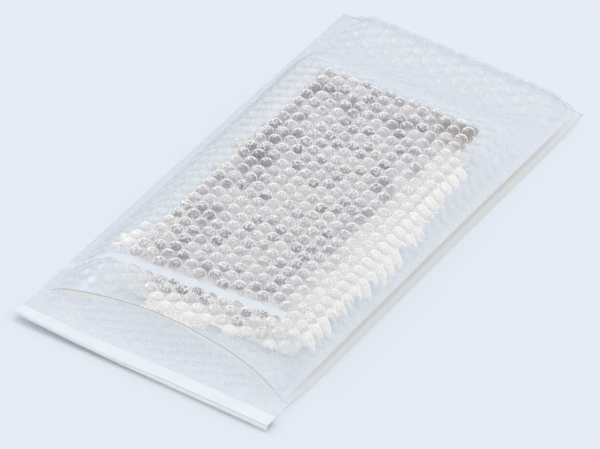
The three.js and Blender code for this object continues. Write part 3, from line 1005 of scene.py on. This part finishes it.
def drape(bm, material):
    mesh = bpy.data.meshes.new("pouch_film")
    bm.to_mesh(mesh)
    bm.free()
    count = len(mesh.vertices)
    flat = np.empty(count * 3)
    mesh.vertices.foreach_get("co", flat)
    x, t, rise = flat.reshape(-1, 3).T
    values = {}
    for name in ("plump", "outer", "drop"):
        values[name] = np.empty(count)
        mesh.attributes[name].data.foreach_get("value", values[name])
    spine, lay, upper = webPoint(x, t), webNormal(x, t), t < 0
    y = spine[:, 1]
    centreX, centreT = cellCentre(x, t)
    centreY = webPoint(centreX, centreT)[:, 1]
    luck = chance(centreX, centreT)
    nearX, nearY = mix(centreX, x, zones["ragBlend"]), mix(centreY, y, zones["ragBlend"])
    clear = np.where(upper, clearShare(nearX, nearY, luck) * clearToFar(x, y), 0)
    band = np.where(upper, bandShare(x, y), 0)
    pastFar = cartonPlace(x, y)[1] - cartonEnd
    slope = smoothStep(pastFar, *film["slopeStart"]) * (1 - smoothStep(pastFar, *film["slopeStop"]))
    fullness = np.where(upper, mix(film["slackPlump"], 1, tautShare(x, y)), 1)
    fullness = fullness * mix(film["foldPlump"], 1, smoothStep(np.abs(t), *film["foldBlend"]))
    fullness = fullness * mix(1, film["bandPlump"], band)
    fullness = fullness * mix(1, film["slopePlump"], np.where(upper, slope, 0))
    thickness = mix(film["thickness"], film["weldThickness"] / 2 - film["weldSlit"] / 2, weldShare(x))
    stand = values["outer"] * (thickness + rise * values["plump"] * fullness)
    places = spine + lay * stand[:, None]
    places[:, 2] -= values["drop"]
    places[:, 2] = np.maximum(places[:, 2], 0.0)  # the lower bubbles flatten on the floor
    mesh.vertices.foreach_set("co", places.ravel())
    hanging, pastBend = wallShare(y), x - seamInner - film["marginBend"]
    levels = {
        "clear": clear,
        "skirt": clear * skirtShare(nearX, nearY),
        # how dark each bubble's painted shade is, by chance, and less at the carton's right edge
        "depth": mix(*zones["depth"], luck) * (1 - zones["paleDepth"] * paleShare(centreX, centreY)),
        "upper": upper * 1.0,
        "weld": weldShare(x),
        "wall": hanging * smoothStep(pastBend, 0, film["marginSoft"]),
        "tip": smoothStep(t, lowerLength - tipArc, lowerLength - tipArc / 2),
        "band": band,
        "dim": dimShare(x, y, upper),
        "crease": hanging * np.clip(1 - np.abs(pastBend) / film["creaseWidth"], 0, 1),
    }
    for name, level in levels.items():
        mesh.attributes.new(name, "FLOAT", "POINT").data.foreach_set("value", level)
    mesh.attributes.new("lay", "FLOAT_VECTOR", "POINT").data.foreach_set("vector", lay.ravel())
    mesh.polygons.foreach_set("material_index", [0] * len(mesh.polygons))
    return finishMesh(mesh, material, film["sharpAngle"])


def settle(piece, node):  # puts a finished piece in its node's place
    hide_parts(node)
    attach(piece, "root")
    triangles = sum(len(face.vertices) - 2 for face in piece.data.polygons)
    print(piece.name + ":", triangles, "triangles")


def makePouch():
    material = makeFilmMaterial(filmLook)
    tree = makeLatticeTree()
    spare = 3  # rows and columns past the web's edges
    values = {
        "Columns": 2 * math.ceil(seamInner / columnSpacing) + spare,
        "Rows": 2 * math.ceil(lowerLength / film["pitch"]) + spare,
        "Column Spacing": columnSpacing,
        "Pitch": film["pitch"],
        "Phase": cellPhase,
        "Bubble Reach": seamInner - film["pitch"] / 2,
        "First Bubble": -upperLength + film["pitch"] / 2,
        "Last Bubble": lowerLength - film["stripRoom"],
        "Least Plump": film["plump"][0],
        "Most Plump": film["plump"][1],
        "Seed": film["seed"],
        "Upper Cell": upperCell,
        "Lower Cell": lowerCell,
        "Flat Cell": flatCell,
        "Film": material,
    }
    outer = flatSheet(latticeMesh(tree, "bubbles", values))
    inner = flatSheet(latticeMesh(tree, "baseFilm", {**values, "Bubble Reach": -1.0}))
    settle(drape(joinSheets(outer, inner), material), "pouch")


makePouch()


# Carton
cartonLook = {
    "face": (0.735, 0.71, 0.735),
    "blotch": (0.29, 0.27, 0.34),
    "fade": (0.88, 0.87, 0.86),
    "corner": (0.27, 0.23, 0.21),
    "side": (0.97, 0.95, 0.90),
    "fadeSide": (0.008, 0.03),  # the print fades out towards the left and right sides
    "fadeFront": 0.012,
    "ragScale": 90.0,
    "rag": (-0.006, 0.006),
    "ring": (0.046, 0.112),  # the darker print runs round the face here
    "ringWidth": 0.02,
    "ringLeast": 0.12,
    "farLeft": (-0.06, 0.10),  # and is strongest at the far left
    "farLeftLeast": 0.45,
    "blotchScale": 75.0,
    "blotchRange": (-0.9, 1.5),
    "blotchDetail": 2.0,
    "blotchLevel": (0.0, 0.8),
    "wornReach": (0.042, 0.016),  # round the far right corner
    "wornScale": 110.0,
    "wornRag": (-0.012, 0.012),
    "farLine": (0.003, 0.0005),  # a dark line along the far edge
    "farLineLevel": 0.7,
    "printedUp": (0.5, 0.8),  # only the faces that look up are printed
    "roughness": 0.6,
}


def makeCartonMaterial(look):
    material, tree, shader = newMaterial("printedCarton")
    maths, times = partial(mathNode, tree), partial(chained, tree, "MULTIPLY")
    local = addNode(
        tree, "ShaderNodeMapping", {"vector_type": "TEXTURE"}, Vector=objectPlace(tree),
        Location=tuple(cartonMid), Rotation=(0, 0, carton["turn"]),
    ).outputs["Vector"]
    u, v = addNode(tree, "ShaderNodeSeparateXYZ", Vector=local).outputs[:2]
    toRing = [maths("SUBTRACT", ring, maths("ABSOLUTE", place)) for ring, place in zip(look["ring"], (u, v))]
    offRing = maths("ABSOLUTE", maths("MINIMUM", *toRing))
    blotch = times(
        steps(tree, offRing, look["ringWidth"], 0.0, look["ringLeast"], 1.0),
        steps(tree, maths("SUBTRACT", v, u), *look["farLeft"], look["farLeftLeast"], 1.0),
        mottled(tree, local, look["blotchScale"], *look["blotchRange"], look["blotchDetail"]),
    )
    colour = mixColour(tree, steps(tree, blotch, *look["blotchLevel"]), look["face"], look["blotch"])
    rag = mottled(tree, local, look["ragScale"], *look["rag"])
    leftFade = steps(tree, maths("SUBTRACT", u, rag), look["fadeSide"][0] - cartonEdge, -cartonEdge)
    rightFade = steps(tree, maths("ADD", u, rag), cartonEdge - look["fadeSide"][1], cartonEdge)
    toFront = maths("SUBTRACT", maths("ADD", v, cartonEnd), rag)
    frontFade = steps(tree, toFront, look["fadeFront"], 0.0)
    colour = mixColour(tree, chained(tree, "MAXIMUM", leftFade, rightFade, frontFade), colour, look["fade"])
    toCorner = vectorValue(tree, "DISTANCE", local, (cartonEdge, cartonEnd, cartonSpan.z / 2))
    worn = maths("ADD", toCorner, mottled(tree, local, look["wornScale"], *look["wornRag"]))
    colour = mixColour(tree, steps(tree, worn, *look["wornReach"]), colour, look["corner"])
    farLine = steps(tree, maths("SUBTRACT", cartonEnd, v), *look["farLine"], 0.0, look["farLineLevel"])
    colour = mixColour(tree, farLine, colour, look["corner"])
    up = addNode(tree, "ShaderNodeSeparateXYZ", Vector=surfaceNormal(tree)).outputs["Z"]
    colour = mixColour(tree, steps(tree, up, *look["printedUp"]), look["side"], colour)
    feed(tree, shader.inputs["Base Color"], colour)
    feed(tree, shader.inputs["Roughness"], look["roughness"])
    return material


def dressNode(name, material):
    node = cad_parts[name]
    node.data.materials.clear()
    node.data.materials.append(material)


dressNode("packed_carton", makeCartonMaterial(cartonLook))
print("carton dressed")


# Sealing strip: the liner covers the adhesive, and both lie nearer to the flap's edge at their left end
strip = {
    "linerColour": (0.87, 0.92, 0.985),
    "adhesiveColour": (0.82, 0.80, 0.72),
    "cloudShade": 0.96,  # share of the colour in its darker clouds
    "cloudScale": 40.0,
    "linerRoughness": 0.3,
    "adhesiveRoughness": 0.35,
    "linerWidth": 0.0115,
    "linerThickness": 0.0002,
    "adhesiveWidth": 0.008,
    "adhesiveThickness": 0.0002,
    "clearance": 0.0001,
    "edgeDroop": (0.36, 0.5),  # shares of the width from its middle, where the liner sinks to the film
    "inset": (0.0004, 0.0032),  # from the flap's edge, at the left and at the right
    "slideOver": (-0.06, 0.03),
    "columns": 80,
    "rows": 10,
    "sharpAngle": 50.0,
}


def makeStripMaterial(name, colour, roughness):
    material, tree, shader = newMaterial(name)
    shade = tuple(strip["cloudShade"] * part for part in colour)
    cloud = mottled(tree, objectPlace(tree), strip["cloudScale"])
    feed(tree, shader.inputs["Base Color"], mixColour(tree, cloud, shade, colour))
    feed(tree, shader.inputs["Roughness"], roughness)
    return material


def makeStrip(name, width, rise, edgeRise, thickness, material):
    columns, rows = strip["columns"], strip["rows"]
    x, share = np.meshgrid(
        np.linspace(-halfWidth, halfWidth, columns + 1), np.linspace(-0.5, 0.5, rows + 1), indexing="ij"
    )
    inset = mix(*strip["inset"], smoothStep(x, *strip["slideOver"]))
    t = lowerLength - inset - strip["linerWidth"] / 2 - share * width
    spine, normal = webPoint(x, t), webNormal(x, t)
    rises = mix(rise, edgeRise, smoothStep(np.abs(share), *strip["edgeDroop"]))[..., None]
    low, high = spine - normal * rises, spine - normal * (rises + thickness)
    places = np.concatenate([low.reshape(-1, 3), high.reshape(-1, 3)])
    top = len(places) // 2
    index = np.arange(top).reshape(columns + 1, rows + 1).tolist()
    faces = []
    for left, right in zip(index, index[1:]):
        for row in range(rows):
            corners = [left[row], right[row], right[row + 1], left[row + 1]]
            faces += [corners, [corner + top for corner in reversed(corners)]]
    nearSide, farSide = ([column[row] for column in index] for row in (0, -1))
    rim = nearSide + index[-1][1:] + farSide[-2::-1] + index[0][-2:0:-1]
    for a, b in zip(rim, rim[1:] + rim[:1]):
        faces.append([b, a, a + top, b + top])
    mesh = bpy.data.meshes.new(name)
    mesh.from_pydata(places.tolist(), [], faces)
    bm = bmesh.new()
    bm.from_mesh(mesh)
    bmesh.ops.recalc_face_normals(bm, faces=bm.faces)
    bm.to_mesh(mesh)
    bm.free()
    return finishMesh(mesh, material, strip["sharpAngle"])


adhesive = makeStrip(
    "adhesive_band", strip["adhesiveWidth"], strip["clearance"], strip["clearance"],
    strip["adhesiveThickness"],
    makeStripMaterial("tackyAdhesive", strip["adhesiveColour"], strip["adhesiveRoughness"]),
)
settle(adhesive, "adhesive_strip")
liner = makeStrip(
    "liner_band", strip["linerWidth"], 2 * strip["clearance"] + strip["adhesiveThickness"],
    strip["clearance"], strip["linerThickness"],
    makeStripMaterial("satinLiner", strip["linerColour"], strip["linerRoughness"]),
)
settle(liner, "release_liner")


# Stage
stage = {
    "floorColour": (0.802, 0.860, 0.926),
    "floorRoughness": 0.9,
    "floorSize": 12.0,
    "floorDrop": 0.0001,
    "worldLevel": 0.75,
    "keyLevel": 0.65,
    "keySpread": 50.0,
    "keyFrom": (0.0, 0.15, 0.98),
    "glintLevel": 0.12,
    "glintSpread": 3.0,
    "glintFrom": (-0.75, 0.25, 0.6),
    "filmLayers": 32,  # that a ray may pass through
}


def makeSun(name, level, spread, source):
    light = bpy.data.lights.new(name, "SUN")
    light.energy = level
    light.angle = math.radians(spread)
    lamp = bpy.data.objects.new(name, light)
    lamp.rotation_mode = "QUATERNION"
    lamp.rotation_quaternion = Vector(source).to_track_quat("Z", "Y")
    scene.collection.objects.link(lamp)


def makeStage(look):
    material, tree, shader = newMaterial("paleFloor")
    feed(tree, shader.inputs["Base Color"], look["floorColour"])
    feed(tree, shader.inputs["Roughness"], look["floorRoughness"])
    feed(tree, shader.inputs["Specular IOR Level"], 0.0)
    mesh = bpy.data.meshes.new("floor")
    half = look["floorSize"] / 2
    squareCorners = ((-half, -half), (half, -half), (half, half), (-half, half))
    mesh.from_pydata([(x, y, -look["floorDrop"]) for x, y in squareCorners], [], [(0, 1, 2, 3)])
    mesh.materials.append(material)
    floor = bpy.data.objects.new("floor", mesh)
    scene.collection.objects.link(floor)
    world = bpy.data.worlds.new("world")
    world.use_nodes = True
    background = world.node_tree.nodes["Background"]
    background.inputs["Color"].default_value = (1, 1, 1, 1)
    background.inputs["Strength"].default_value = look["worldLevel"]
    scene.world = world
    scene.cycles.transparent_max_bounces = look["filmLayers"]
    makeSun("keyLight", look["keyLevel"], look["keySpread"], look["keyFrom"])
    makeSun("glintLight", look["glintLevel"], look["glintSpread"], look["glintFrom"])


makeStage(stage)
print("stage set")
